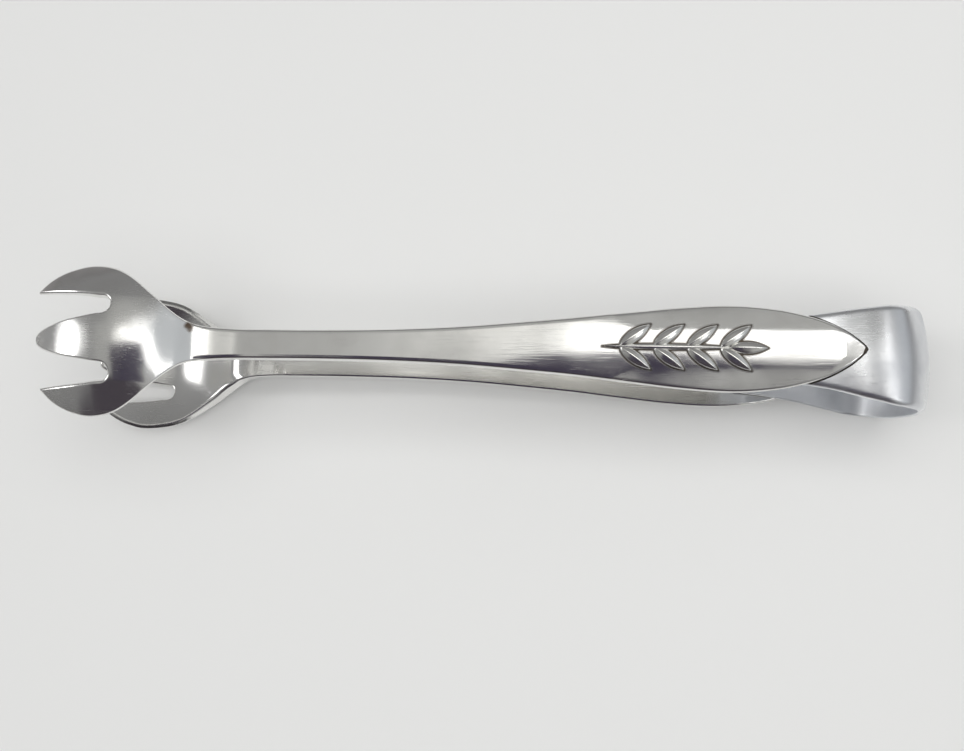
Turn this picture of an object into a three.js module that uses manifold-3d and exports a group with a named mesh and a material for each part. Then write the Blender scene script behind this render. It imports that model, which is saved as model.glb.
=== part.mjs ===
// Sugar tongs: two silver arms with three-tined claws, joined by a sprung bow.
// Millimetres. The tongs are drawn open and upright about their middle plane, with x from the
// claws to the bow, y across them and z from one arm to the other. At the end they are laid on
// their lower arm, as they lie on a table.
import * as THREE from 'three';
import { mergeVertices } from 'three/addons/utils/BufferGeometryUtils.js';
import Module from 'manifold-3d';

const wasm = await Module();
wasm.setup();

// Claw: a cupped scoop with two slots that leave three tines
const clawLength = 18.6;
const clawHalfWidth = 8.8;
const clawHeight = 14.15;
const clawCup = 3.4;
const clawWall = 1.1;
const slotHalfWidth = 1.06;

// Shank: the slim stretch between claw and leaf
const shankLength = 38;
const shankHalfWidth = 1.71;
const shankHeight = 8.2;
const shankThickness = 1.8;

// Leaf: the broad, crowned end that is held between finger and thumb
const leafLength = 38.9;
const leafHalfWidth = 5.02;
const leafHeight = 9.3;
const leafThickness = 1.7;
const leafCrown = 0.5;
const leafTipThickness = 0.32;
const leafTipHalfWidth = 0.15;
const edgeBevel = 0.32;

// Bow: a wide strip bent round, with its two ends soldered under the leaves
const bowLegCover = 11.9;
const bowLegBare = 2.7;
const bowBendLength = 6.9;
const bowHalfSpread = 10.9;
const bowEndHeight = 8.8;
const bowThickness = 0.9;
const bowEndHalfWidth = 3.4;
const bowBendHalfWidth = 5.9;
const bowCrown = 0.8;
const bowEdgeBevel = 0.2;

// Room left between two soldered pieces, depth of the flats worn by the table, and how far a
// cutter runs past what it cuts
const solderGap = 0.3;
const restFlat = 0.05;
const overrun = 4;

// Ornament: a small sprig of leaves, raised on the leaf
const sprigLength = 19;
const sprigHeight = 0.42;
const sprigBevel = 0.16;
const stemHalfWidth = 0.36;
const bladeLength = 4.5;
const bladeHalfWidth = 0.72;
const endBladeLength = 4.6;
const bladePairs = 4;
const bladeAngle = 0.62;
const sprigPlaceShare = 0.47;
const endBladeOverlapShare = 0.2;
const bladeCurveShares = [[0.25, 1.5], [0.7, 1.2]];

// Places along the tongs, measured from the neck where the claw meets the shank
const leafStart = shankLength;
const leafTip = leafStart + leafLength;
const bowEnd = leafTip - bowLegCover;
const bowWidest = leafTip + bowLegBare;
const bowApex = bowWidest + bowBendLength;

// Each row: place along its stretch, then a share of the stretch's own size
const clawWidthShares = [
  [0.075, 0.318], [0.14, 0.42], [0.199, 0.532], [0.263, 0.648], [0.323, 0.758], [0.387, 0.857],
  [0.452, 0.933], [0.522, 0.979], [0.602, 1], [0.667, 0.994], [0.72, 0.968], [0.785, 0.921],
  [0.849, 0.852], [0.898, 0.782], [0.935, 0.718], [0.968, 0.649], [1, 0.568],
];
const shankWidthShares = [
  [0, 1.26], [0.053, 1.09], [0.13, 1.01], [0.18, 1], [0.368, 1], [0.579, 1.08], [0.789, 1.287],
];
const leafWidthShares = [
  [0, 0.566], [0.154, 0.675], [0.308, 0.813], [0.463, 0.94], [0.617, 1], [0.746, 0.918],
  [0.835, 0.765], [0.895, 0.6], [0.951, 0.355], [0.98, 0.171],
];
const clawHeightShares = [
  [0, 0.09], [0.108, 0.37], [0.215, 0.64], [0.323, 0.84], [0.43, 0.966], [0.511, 1],
  [0.591, 0.983], [0.699, 0.89], [0.806, 0.73], [0.914, 0.52], [1, 0.336],
];
const handleHeightShares = [
  [0.054, 0.02], [0.1, 0], [0.19, 0.05], [0.29, 0.23], [0.39, 0.45], [0.495, 0.73],
  [0.57, 0.95], [0.65, 1], [0.73, 0.9],
];
const clawCupShares = [
  [0, 0], [0.12, 0.06], [0.25, 0.3], [0.36, 0.62], [0.47, 0.9], [0.6, 1], [0.72, 0.86],
  [0.85, 0.55], [1, 0.2],
];
const seatShares = [0, 0.2, 0.4, 0.6, 0.8, 1];
const clawWallShares = [[0.25, 0.5], [0.6, 1], [1, 1.2]];
const handleWallShares = [[0, 0], [0.4, 0], [0.65, 1]];
const leafTipWallShares = [[0.69, 0.11], [0.82, 0.47], [0.94, 0.8], [1, 1]];
const handleCrownShares = [[0, 0], [0.3, 0], [0.65, 1], [0.85, 1], [1, 0]];
const bevelShares = [[0, 1], [0.9, 1], [1, 0.25]];
const clawBevelShares = [[0.3, 0.6], [1, 0.5]];

// Places across a section, from one edge to the other, as shares of the half-width
const acrossShares = [-1, -0.86, -0.68, -0.46, -0.23, 0, 0.23, 0.46, 0.68, 0.86, 1];
const bowAcrossShares = [-1, -0.93, -0.45, 0, 0.45, 0.93, 1];
const bevelStartShare = 0.86;
const bowBevelStartShare = 0.93;
const innerBevelShare = 0.6;

// The outside of one leg of the bow, from its hidden end to its widest spread: place along,
// half-width, height. From there it turns through a quarter of an ellipse: turn, half-width. The
// other leg is its mirror image.
const bowLegShares = [
  [0, 0, 0], [0.27, 0.16, 0.19], [0.54, 0.39, 0.39], [0.81, 0.69, 0.66], [1, 0.86, 1],
];
const bowBendShares = [[0.24, 0.93], [0.5, 0.98], [0.75, 1], [1, 1]];

// One slot in plan: its round end, its outer edge and the edge of the middle tine. Places are
// shares of the claw's length and half-width.
const slotEndShare = 0.47;
const slotEndSideShare = 0.442;
const slotOuterShares = [[0.56, 0.566], [0.67, 0.596], [0.81, 0.622], [0.96, 0.65], [1.08, 0.7]];
const slotInnerShares = [
  [1.08, 0.03], [0.997, 0.03], [0.985, 0.052], [0.955, 0.09], [0.903, 0.15], [0.85, 0.194],
  [0.78, 0.236], [0.66, 0.28], [0.56, 0.315],
];

// Steps of each run, which only set how finely it is drawn
const clawSteps = 19;
const shankSteps = 9;
const leafSteps = 22;
const bowSteps = 52;
const slotSteps = 24;
const slotEndSteps = 12;
const bladeSteps = 6;
const layRounds = 5;

const silver = { color: 0xd9d7d2, roughness: 0.2, metalness: 1 };
const bowSilver = { color: 0xd2d0cb, roughness: 0.3, metalness: 1 };

// A smooth value between rows of [place, value]
function smooth(rows, place) {
  let last = 1;
  while (last < rows.length - 1 && rows[last][0] < place) last++;
  const slope = (row) => {
    const before = rows[Math.max(row - 1, 0)];
    const after = rows[Math.min(row + 1, rows.length - 1)];
    return (after[1] - before[1]) / (after[0] - before[0]);
  };
  const [from, fromValue] = rows[last - 1];
  const [to, toValue] = rows[last];
  const span = to - from;
  const along = THREE.MathUtils.clamp((place - from) / span, 0, 1);
  const square = along * along;
  const cube = square * along;
  const fromShare = 2 * cube - 3 * square + 1;
  const fromSlope = (cube - 2 * square + along) * span * slope(last - 1);
  const toSlope = (cube - square) * span * slope(last);
  return fromShare * fromValue + (1 - fromShare) * toValue + fromSlope + toSlope;
}

// The outside of the whole bow as one curve, whose y carries the strip's half-width
function bowCurve() {
  const leg = bowLegShares.map(([along, width, height]) => new THREE.Vector3(
    THREE.MathUtils.lerp(bowEnd, bowWidest, along),
    THREE.MathUtils.lerp(bowEndHalfWidth, bowBendHalfWidth, width),
    THREE.MathUtils.lerp(bowEndHeight, bowHalfSpread, height),
  ));
  const bend = bowBendShares.map(([turn, width]) => new THREE.Vector3(
    bowWidest + Math.sin(turn * Math.PI / 2) * bowBendLength,
    THREE.MathUtils.lerp(bowEndHalfWidth, bowBendHalfWidth, width),
    Math.cos(turn * Math.PI / 2) * bowHalfSpread,
  ));
  const half = [...leg, ...bend];
  const otherHalf = half.slice(0, -1).map((point) => new THREE.Vector3(point.x, point.y, -point.z));
  return new THREE.CatmullRomCurve3([...half, ...otherHalf.reverse()], false, 'centripetal');
}

// Height of the bow's outside at a place on its upper leg
const bowLine = bowCurve().getSpacedPoints(bowSteps);
function bowHeight(x) {
  const index = Math.max(bowLine.findIndex((point) => point.x >= x), 1);
  const from = bowLine[index - 1];
  const to = bowLine[index];
  return THREE.MathUtils.mapLinear(x, from.x, to.x, from.z, to.z);
}

// Rows of [place, value] from a table of shares, along one stretch of the arm
function stretch(shares, start, end, low, high) {
  const { lerp } = THREE.MathUtils;
  return shares.map(([place, share]) => [lerp(start, end, place), lerp(low, high, share)]);
}

// Rows of the upper arm: half-width, height of its inner face, thickness, cup, crown and bevel
const widthRows = [
  ...stretch(clawWidthShares, 0, -clawLength, 0, clawHalfWidth).reverse(),
  ...stretch(shankWidthShares, 0, leafStart, 0, shankHalfWidth),
  ...stretch(leafWidthShares, leafStart, leafTip, 0, leafHalfWidth),
  [leafTip, leafTipHalfWidth],
];
const seatRows = seatShares.map((share) => {
  const x = THREE.MathUtils.lerp(bowEnd, leafTip, share);
  return [x, bowHeight(x) + solderGap];
});
const heightRows = [
  ...stretch(clawHeightShares, 0, -clawLength, shankHeight, clawHeight).reverse(),
  ...stretch(handleHeightShares, 0, leafTip, shankHeight, leafHeight),
  ...seatRows,
];
const thicknessRows = [
  ...stretch(clawWallShares, 0, -clawLength, shankThickness, clawWall).reverse(),
  ...stretch(handleWallShares, 0, leafTip, shankThickness, leafThickness),
  ...stretch(leafTipWallShares, leafStart, leafTip, leafThickness, leafTipThickness),
];
const cupRows = [
  ...stretch(clawCupShares, 0, -clawLength, 0, clawCup).reverse(),
  [leafTip, 0],
];
const crownRows = stretch(handleCrownShares, 0, leafTip, 0, leafCrown);
const bevelRows = [
  ...stretch(clawBevelShares, 0, -clawLength, 0, edgeBevel).reverse(),
  ...stretch(bevelShares, 0, leafTip, 0, edgeBevel),
];

// Inner and outer height of the upper arm at one place
function armHeights(x, share) {
  const square = share * share;
  const past = Math.max(Math.abs(share) - bevelStartShare, 0) / (1 - bevelStartShare);
  const bevel = past * smooth(bevelRows, x);
  const inner = smooth(heightRows, x) - square * smooth(cupRows, x);
  const outer = inner + smooth(thicknessRows, x) - square * smooth(crownRows, x);
  return { inner: inner + bevel * innerBevelShare, outer: outer - bevel };
}

// A closed sheet from rows of outer and inner points
function sheet(rows) {
  const across = rows[0].outer.length;
  const points = rows.flatMap((row) => [...row.outer, ...row.inner]);
  const index = [];
  const quad = (a, b, c, d) => index.push(a, b, c, a, c, d);
  const outer = (row, column) => row * across * 2 + column;
  const inner = (row, column) => outer(row, column) + across;
  const end = rows.length - 1;
  const edge = across - 1;
  for (let row = 0; row < end; row++) {
    for (let column = 0; column < edge; column++) {
      quad(outer(row, column), outer(row + 1, column), outer(row + 1, column + 1), outer(row, column + 1));
      quad(inner(row, column), inner(row, column + 1), inner(row + 1, column + 1), inner(row + 1, column));
    }
    quad(outer(row, 0), inner(row, 0), inner(row + 1, 0), outer(row + 1, 0));
    quad(outer(row, edge), outer(row + 1, edge), inner(row + 1, edge), inner(row, edge));
  }
  for (let column = 0; column < edge; column++) {
    quad(outer(0, column), outer(0, column + 1), inner(0, column + 1), inner(0, column));
    quad(outer(end, column), inner(end, column), inner(end, column + 1), outer(end, column + 1));
  }
  const geometry = new THREE.BufferGeometry().setFromPoints(points);
  geometry.setIndex(index);
  return geometry;
}

function toSolid(geometry) {
  const bare = geometry.clone();
  bare.deleteAttribute('normal');
  bare.deleteAttribute('uv');
  const merged = mergeVertices(bare);
  return new wasm.Manifold(new wasm.Mesh({
    numProp: 3,
    vertProperties: new Float32Array(merged.attributes.position.array),
    triVerts: new Uint32Array(merged.index.array),
  }));
}

function toGeometry(solid) {
  const mesh = solid.getMesh();
  const geometry = new THREE.BufferGeometry();
  geometry.setAttribute('position', new THREE.BufferAttribute(mesh.vertProperties.slice(), 3));
  geometry.setIndex(new THREE.BufferAttribute(mesh.triVerts.slice(), 1));
  return geometry;
}

// Even steps from one place to another, without the last
function steps(from, to, count) {
  return Array.from({ length: count }, (_, step) => THREE.MathUtils.lerp(from, to, step / count));
}

// The cutter for one slot of the claw, seen from above
function slotCutter(side) {
  const plan = ([along, share]) => new THREE.Vector2(-along * clawLength, side * share * clawHalfWidth);
  const endX = -slotEndShare * clawLength - slotHalfWidth;
  const endY = slotEndSideShare * clawHalfWidth;
  const round = steps(Math.PI / 2, -Math.PI / 2, slotEndSteps).map((turn) => new THREE.Vector2(
    endX + Math.cos(turn) * slotHalfWidth,
    side * (endY + Math.sin(turn) * slotHalfWidth),
  ));
  const outerEdge = new THREE.SplineCurve(slotOuterShares.map(plan)).getPoints(slotEndSteps);
  const innerEdge = new THREE.SplineCurve(slotInnerShares.map(plan)).getPoints(slotSteps);
  const shape = new THREE.Shape([...round.reverse(), ...outerEdge, ...innerEdge]);
  const depth = clawHeight + clawWall + overrun;
  return toSolid(new THREE.ExtrudeGeometry(shape, { depth, bevelEnabled: false }));
}

// One arm, hammered and filed from a single blank: claw, shank and leaf
function armSolid() {
  const places = [
    ...steps(-clawLength, 0, clawSteps),
    ...steps(0, leafStart, shankSteps),
    ...steps(leafStart, leafTip, leafSteps),
    THREE.MathUtils.lerp(leafStart, leafTip, 1 - 1 / leafSteps / 2),
    leafTip,
  ];
  const rows = places.map((x) => {
    const halfWidth = smooth(widthRows, x);
    const outer = [];
    const inner = [];
    for (const share of acrossShares) {
      const heights = armHeights(x, share);
      outer.push(new THREE.Vector3(x, share * halfWidth, heights.outer));
      inner.push(new THREE.Vector3(x, share * halfWidth, heights.inner));
    }
    return { outer, inner };
  });
  return toSolid(sheet(rows)).subtract(slotCutter(1)).subtract(slotCutter(-1));
}

// The bow: a strip of even thickness that widens towards its bend
function bowSolid() {
  const curve = bowCurve();
  const rows = bowLine.map((point, step) => {
    const along = curve.getTangentAt(step / bowSteps);
    const inward = new THREE.Vector3(along.z, 0, -along.x).normalize();
    const crown = bowCrown * inward.x * inward.x;
    const outer = [];
    const inner = [];
    for (const share of bowAcrossShares) {
      const past = Math.max(Math.abs(share) - bowBevelStartShare, 0) / (1 - bowBevelStartShare);
      const bevel = past * bowEdgeBevel;
      const place = new THREE.Vector3(point.x, share * point.y, point.z);
      place.addScaledVector(inward, crown * share * share);
      outer.push(place.clone().addScaledVector(inward, bevel));
      inner.push(place.clone().addScaledVector(inward, bowThickness - bevel));
    }
    return { outer, inner };
  });
  return toSolid(sheet(rows));
}

// A pointed blade of the sprig, lying flat with its foot at the origin
function blade(length, halfWidth) {
  const shape = new THREE.Shape();
  const inset = halfWidth - sprigBevel;
  const foot = bladeCurveShares[0].map((share, axis) => share * [length, inset][axis]);
  const tip = bladeCurveShares[1].map((share, axis) => share * [length, inset][axis]);
  shape.moveTo(0, 0);
  shape.bezierCurveTo(foot[0], foot[1], tip[0], tip[1], length, 0);
  shape.bezierCurveTo(tip[0], -tip[1], foot[0], -foot[1], 0, 0);
  return new THREE.ExtrudeGeometry(shape, {
    depth: sprigHeight - sprigBevel * 2,
    bevelEnabled: true,
    bevelThickness: sprigBevel,
    bevelSize: sprigBevel,
    bevelSegments: 1,
    curveSegments: bladeSteps,
  });
}

// The sprig, joined flat and then laid on the crowned face of the leaf
function sprigSolid() {
  const stemStart = -sprigLength / 2;
  const stemEnd = sprigLength / 2 - endBladeLength * (1 - endBladeOverlapShare);
  const pairSpan = (stemEnd - stemStart) / bladePairs;
  const stemBlade = blade(stemEnd - stemStart + stemHalfWidth, stemHalfWidth + sprigBevel);
  let sprig = toSolid(stemBlade.translate(stemStart, 0, 0));
  const end = blade(endBladeLength, bladeHalfWidth).translate(sprigLength / 2 - endBladeLength, 0, 0);
  sprig = sprig.add(toSolid(end));
  for (let pair = 0; pair < bladePairs; pair++) {
    for (const side of [1, -1]) {
      const leaf = blade(bladeLength, bladeHalfWidth).rotateZ(side * bladeAngle);
      leaf.translate(stemStart + (pair + 1 / 2) * pairSpan, 0, 0);
      sprig = sprig.add(toSolid(leaf));
    }
  }
  const geometry = toGeometry(sprig);
  const position = geometry.attributes.position;
  const middle = leafStart + leafLength * sprigPlaceShare;
  for (let vertex = 0; vertex < position.count; vertex++) {
    const x = middle + position.getX(vertex);
    const y = position.getY(vertex);
    const face = armHeights(x, y / smooth(widthRows, x)).outer;
    position.setXYZ(vertex, x, y, face + solderGap + position.getZ(vertex) + sprigBevel);
  }
  return toSolid(geometry);
}

function flip(solid) {
  return toSolid(toGeometry(solid).rotateX(Math.PI));
}

// The lowest point of a solid once the tongs are tilted
function lowestPoint(solid, tilt) {
  const position = toGeometry(solid).attributes.position;
  const best = new THREE.Vector3();
  let bestHeight = Infinity;
  for (let vertex = 0; vertex < position.count; vertex++) {
    const x = position.getX(vertex);
    const z = position.getZ(vertex);
    const height = z * Math.cos(tilt) - x * Math.sin(tilt);
    if (height < bestHeight) {
      bestHeight = height;
      best.set(x, position.getY(vertex), z);
    }
  }
  return { point: best, height: bestHeight };
}

// The tilt at which the lower claw and the bow both touch the table
function layTilt(claw, strip) {
  let tilt = 0;
  for (let round = 0; round < layRounds; round++) {
    const front = lowestPoint(claw, tilt).point;
    const back = lowestPoint(strip, tilt).point;
    tilt = Math.atan2(back.z - front.z, back.x - front.x);
  }
  return tilt;
}

// Cuts a solid flat where it stands on the table
function cutFlat(solid, tilt, tableHeight) {
  const depth = overrun;
  const slab = new THREE.BoxGeometry((bowApex + clawLength) * 2, (clawHalfWidth + overrun) * 2, depth);
  slab.translate(0, 0, tableHeight + restFlat - depth / 2);
  slab.rotateY(-tilt);
  return solid.subtract(toSolid(slab));
}

function piece(name, solid, finish) {
  const geometry = toGeometry(solid);
  geometry.computeVertexNormals();
  const mesh = new THREE.Mesh(geometry, new THREE.MeshStandardMaterial(finish));
  mesh.name = name;
  return mesh;
}

function tongs() {
  const arm = armSolid();
  const sprig = sprigSolid();
  const strip = bowSolid();
  const lowerArm = flip(arm);
  const tilt = layTilt(lowerArm, strip);
  const tableHeight = lowestPoint(strip, tilt).height;

  const group = new THREE.Group();
  group.add(piece('bow', cutFlat(strip, tilt, tableHeight), bowSilver));
  group.add(piece('upper_arm', arm, silver));
  group.add(piece('lower_arm', cutFlat(lowerArm, tilt, tableHeight), silver));
  group.add(piece('upper_ornament', sprig, silver));
  group.add(piece('lower_ornament', flip(sprig), silver));
  group.rotation.y = tilt;

  const table = new THREE.Group();
  table.add(group);
  table.updateMatrixWorld(true);
  const box = new THREE.Box3().setFromObject(table, true);
  const middle = box.getCenter(new THREE.Vector3());
  table.position.set(-middle.x, -middle.y, -box.min.z);
  table.updateMatrixWorld(true);
  return table;
}

export default tongs();
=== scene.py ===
import math

import bpy
import numpy as np
from mathutils import Matrix, Vector, geometry


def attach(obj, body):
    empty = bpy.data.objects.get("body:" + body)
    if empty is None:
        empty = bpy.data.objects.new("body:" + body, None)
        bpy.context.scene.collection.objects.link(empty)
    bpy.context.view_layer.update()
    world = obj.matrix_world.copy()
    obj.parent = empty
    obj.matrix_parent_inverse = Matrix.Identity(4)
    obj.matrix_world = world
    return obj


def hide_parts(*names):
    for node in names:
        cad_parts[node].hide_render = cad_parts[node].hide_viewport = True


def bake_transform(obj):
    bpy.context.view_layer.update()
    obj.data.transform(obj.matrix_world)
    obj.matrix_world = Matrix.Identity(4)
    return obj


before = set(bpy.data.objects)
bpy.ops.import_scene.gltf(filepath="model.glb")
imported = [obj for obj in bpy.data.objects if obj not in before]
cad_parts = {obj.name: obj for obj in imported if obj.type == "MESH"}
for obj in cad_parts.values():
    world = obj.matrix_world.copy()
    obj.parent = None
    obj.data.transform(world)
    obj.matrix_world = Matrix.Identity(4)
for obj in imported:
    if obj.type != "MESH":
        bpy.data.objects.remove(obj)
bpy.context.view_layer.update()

# The bow: one strip of sterling silver, bent round in a C and left springy. It is widest at the
# bend, its ends lie under the two leaves, and handling has turned its polish soft and hazy.
# Sizes are in millimetres, in the tongs' own frame: x from the neck to the bow, z from arm to arm.
MM = 0.001
LAY_TILT = 0.05018
LAY_SHIFT = np.array([-33.63717, 0.0, 14.79327])

BOW_END = 65.0
BOW_WIDEST = 79.6
BOW_BEND_LENGTH = 6.9
BOW_HALF_SPREAD = 10.9
BOW_END_HEIGHT = 8.8
BOW_THICKNESS = 0.9
BOW_END_HALF_WIDTH = 3.4
BOW_BEND_HALF_WIDTH = 6.15
BOW_CROWN = 0.8
BOW_CORNER = 0.24
BOW_EDGE = (0.7, 0.56)
# The strip's middle line in shares: the leg's rows are way along, width and height, and the bend's
# rows are way round and width
BOW_LEG = [(0, 0, 0), (0.27, 0.16, 0.2), (0.54, 0.39, 0.44), (0.81, 0.69, 0.79), (1, 0.86, 1)]
BOW_BEND = [(0.24, 0.93), (0.5, 0.98), (0.75, 1), (1, 1)]
BOW_LEG_CROWN = 0.3
BOW_LEG_CROWN_SPAN = (70, 78)
BOW_TWIST = 0.11
BOW_TWIST_SPAN = (69, 78)
BOW_TWIST_HEIGHT = 8
BOW_SKEW = 0.6
UPPER_SKEW_SPAN = (71.5, 82.5)
LOWER_SKEW_SPAN = (73, 88)
LOWER_SKEW_LESS = 0.45
LOWER_SKEW_BACK = (81, 86)
BEND_START_SHARE = 0.86
BOW_LINE_STEPS = 40
BOW_ROWS = 161
BOW_COLUMNS = 30
CORNER_STEPS = 7
LEAST_LENGTH = 1e-12
LEAST_STEP = 1e-4


def laid(points):
    """Points of the tongs' own frame, in millimetres, laid on the table in metres."""
    return (turned(points) + LAY_SHIFT) * MM


def turned(directions):
    """Points or directions turned by the tilt at which the tongs lie."""
    x, y, z = np.asarray(directions, float).T
    c, s = math.cos(LAY_TILT), math.sin(LAY_TILT)
    return np.stack([x * c + z * s, y, z * c - x * s], 1)


def unit(vectors):
    """The same directions, each one long."""
    return vectors / np.maximum(np.linalg.norm(vectors, axis=-1, keepdims=True), LEAST_LENGTH)


def make_piece(name, points, faces, normals, finish):
    """A smooth piece from points and normals in the tongs' own frame. It rests on the table at most."""
    place = laid(points)
    place[:, 2] = np.maximum(place[:, 2], 0.0)
    mesh = bpy.data.meshes.new(name)
    mesh.from_pydata(place.tolist(), [], [list(map(int, f)) for f in faces])
    mesh.shade_smooth()
    if normals is not None:
        mesh.normals_split_custom_set_from_vertices(turned(unit(normals)).tolist())
    mesh.materials.append(finish)
    piece = bpy.data.objects.new(name, mesh)
    bpy.context.scene.collection.objects.link(piece)
    return piece


def flowing_line(points, per_span):
    """A smooth line through points, spaced by its own curvature."""
    points = np.asarray(points, float)
    ends = [2 * points[0] - points[1], 2 * points[-1] - points[-2]]
    p = np.vstack([ends[0], points, ends[1]])
    line = []
    for i in range(1, len(p) - 2):
        knots = [0.0]
        for a, b in zip(p[i - 1:i + 2], p[i:i + 3]):
            knots.append(knots[-1] + max(np.linalg.norm(b - a), LEAST_STEP) ** 0.5)
        t0, t1, t2, t3 = knots
        t = np.linspace(t1, t2, per_span, endpoint=False)[:, None]
        a1 = (t1 - t) / (t1 - t0) * p[i - 1] + (t - t0) / (t1 - t0) * p[i]
        a2 = (t2 - t) / (t2 - t1) * p[i] + (t - t1) / (t2 - t1) * p[i + 1]
        a3 = (t3 - t) / (t3 - t2) * p[i + 1] + (t - t2) / (t3 - t2) * p[i + 2]
        b1 = (t2 - t) / (t2 - t0) * a1 + (t - t0) / (t2 - t0) * a2
        b2 = (t3 - t) / (t3 - t1) * a2 + (t - t1) / (t3 - t1) * a3
        line.append((t2 - t) / (t2 - t1) * b1 + (t - t1) / (t2 - t1) * b2)
    return np.vstack([*line, points[-1:]])


def even_line(line, count):
    """The same line with its points evenly spaced."""
    steps = np.linalg.norm(np.diff(line, axis=0), axis=1)
    run = np.concatenate([[0.0], np.cumsum(steps)])
    at = np.linspace(0.0, run[-1], count)
    return np.stack([np.interp(at, run, column) for column in line.T], 1)


def mix(a, b, share):
    return a + (b - a) * share


def grown(value, low, high):
    """0 up to low and 1 from high on, smooth at both ends."""
    t = np.clip((value - low) / (high - low), 0, 1)
    return t * t * (3 - 2 * t)


bow_leg = [(mix(BOW_END, BOW_WIDEST, a), mix(BOW_END_HALF_WIDTH, BOW_BEND_HALF_WIDTH, w),
            mix(BOW_END_HEIGHT, BOW_HALF_SPREAD, h)) for a, w, h in BOW_LEG]
bow_bend = [(BOW_WIDEST + math.sin(t * math.pi / 2) * BOW_BEND_LENGTH,
             mix(BOW_END_HALF_WIDTH, BOW_BEND_HALF_WIDTH, w),
             math.cos(t * math.pi / 2) * BOW_HALF_SPREAD) for t, w in BOW_BEND]
bow_half = bow_leg + bow_bend
bow_line = bow_half + [(x, y, -z) for x, y, z in bow_half[-2::-1]]
bow_line = even_line(flowing_line(bow_line, BOW_LINE_STEPS), BOW_ROWS)


def bow_lean(x, z):
    """Crown and twist of the strip beyond the leaf, which its bending left a little out of true."""
    twist = BOW_TWIST * grown(x, *BOW_TWIST_SPAN) * grown(z, 0, BOW_TWIST_HEIGHT)
    return BOW_LEG_CROWN * grown(x, *BOW_LEG_CROWN_SPAN), twist


def bow_skew(x, lower):
    """How far the strip drifts off the middle: later on its lower leg, which comes partly back."""
    drift = np.where(lower, grown(x, *LOWER_SKEW_SPAN), grown(x, *UPPER_SKEW_SPAN))
    return -BOW_SKEW * drift * (1 - lower * LOWER_SKEW_LESS * (1 - grown(x, *LOWER_SKEW_BACK)))


def bow_mesh_rows():
    """Points and normals of the strip, one closed loop of points for each row."""
    along = unit(np.gradient(bow_line[:, [0, 2]], axis=0))
    inward = np.stack([along[:, 1], np.zeros(len(along)), -along[:, 0]], 1)
    corner = [(math.cos(a), math.sin(a)) for a in np.linspace(0, math.pi / 2, CORNER_STEPS + 1)]
    depth = BOW_THICKNESS - BOW_CORNER
    across = np.linspace(-1, 1, BOW_COLUMNS)
    rows = []
    askew = bow_skew(bow_line[:, 0], bow_line[:, 2] <= 0)
    for (x, half_width, z), way, shift in zip(bow_line, inward, askew):
        top, flat = half_width - BOW_EDGE[0], half_width - BOW_CORNER
        loop = [(a * top, 0.0) for a in across[1:-1]]
        loop += [(top + BOW_EDGE[0] * s, BOW_EDGE[1] * (1 - c)) for c, s in corner]
        loop += [(flat + BOW_CORNER * c, depth + BOW_CORNER * s) for c, s in corner]
        loop += [(-a * flat, BOW_THICKNESS) for a in across[1:-1]]
        loop += [(-flat - BOW_CORNER * s, depth + BOW_CORNER * c) for c, s in corner]
        loop += [(-top - BOW_EDGE[0] * c, BOW_EDGE[1] * (1 - s)) for c, s in corner]
        side, sunk = np.array(loop).T
        crown, twist = bow_lean(x, z)
        sunk = sunk + mix(crown, BOW_CROWN, way[0] ** 2) * (side / half_width) ** 2
        sideways = np.array([0.0, 1.0, -twist])
        rows.append(np.array([x, shift, z]) + sunk[:, None] * way + side[:, None] * sideways)
    rows = np.array(rows)
    down = np.gradient(rows, axis=0)
    around = np.roll(rows, -1, axis=1) - np.roll(rows, 1, axis=1)
    return rows, unit(np.cross(down, around))


def tube_faces(rows, loop):
    """Faces of a tube of rows, without its ends."""
    faces = []
    for r in range(rows - 1):
        for c in range(loop):
            d = (c + 1) % loop
            faces.append((r * loop + c, (r + 1) * loop + c, (r + 1) * loop + d, r * loop + d))
    return faces


def capped(rows, normals):
    """Points, faces and normals of a tube with its two ends closed."""
    count, loop = rows.shape[:2]
    points, lights, faces = [rows.reshape(-1, 3)], [normals.reshape(-1, 3)], tube_faces(count, loop)
    start = count * loop
    for end, beside, turn in ((0, 1, 1), (-1, -2, -1)):
        way = unit(rows[end].mean(0) - rows[beside].mean(0))
        points.append(rows[end])
        lights.append(np.tile(way, (loop, 1)))
        faces.append(tuple(range(start, start + loop))[::turn])
        start += loop
    return np.vstack(points), faces, np.vstack(lights)


def add(tree, kind, inputs=(), **settings):
    """A node with its settings and its inputs, each a value or another node's output."""
    made = tree.nodes.new(kind)
    for name, value in settings.items():
        setattr(made, name, value)
    for key, value in dict(inputs).items():
        if isinstance(value, bpy.types.NodeSocket):
            tree.links.new(value, made.inputs[key])
        else:
            made.inputs[key].default_value = value
    return made


def calc(tree, operation, a, b=0.0, c=0.0):
    return add(tree, "ShaderNodeMath", {0: a, 1: b, 2: c}, operation=operation).outputs[0]


def blend_colours(tree, share, a, b):
    """Colour a where share is 0 and b where it is 1, each a colour or another node's output."""
    made = add(tree, "ShaderNodeMix", {"Factor": share}, data_type="RGBA")
    for socket, colour in (("A", a), ("B", b)):
        if isinstance(colour, bpy.types.NodeSocket):
            tree.links.new(colour, made.inputs[socket])
        else:
            made.inputs[socket].default_value = (*colour, 1)
    return made.outputs["Result"]


def span(tree, value, low, high, to_low=0.0, to_high=1.0):
    """A value taken from one span to another, smoothly and no further than its ends."""
    made = add(tree, "ShaderNodeMapRange", {"Value": value, "From Min": low, "From Max": high,
                                            "To Min": to_low, "To Max": to_high})
    made.interpolation_type = "SMOOTHSTEP"
    return made.outputs["Result"]


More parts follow.
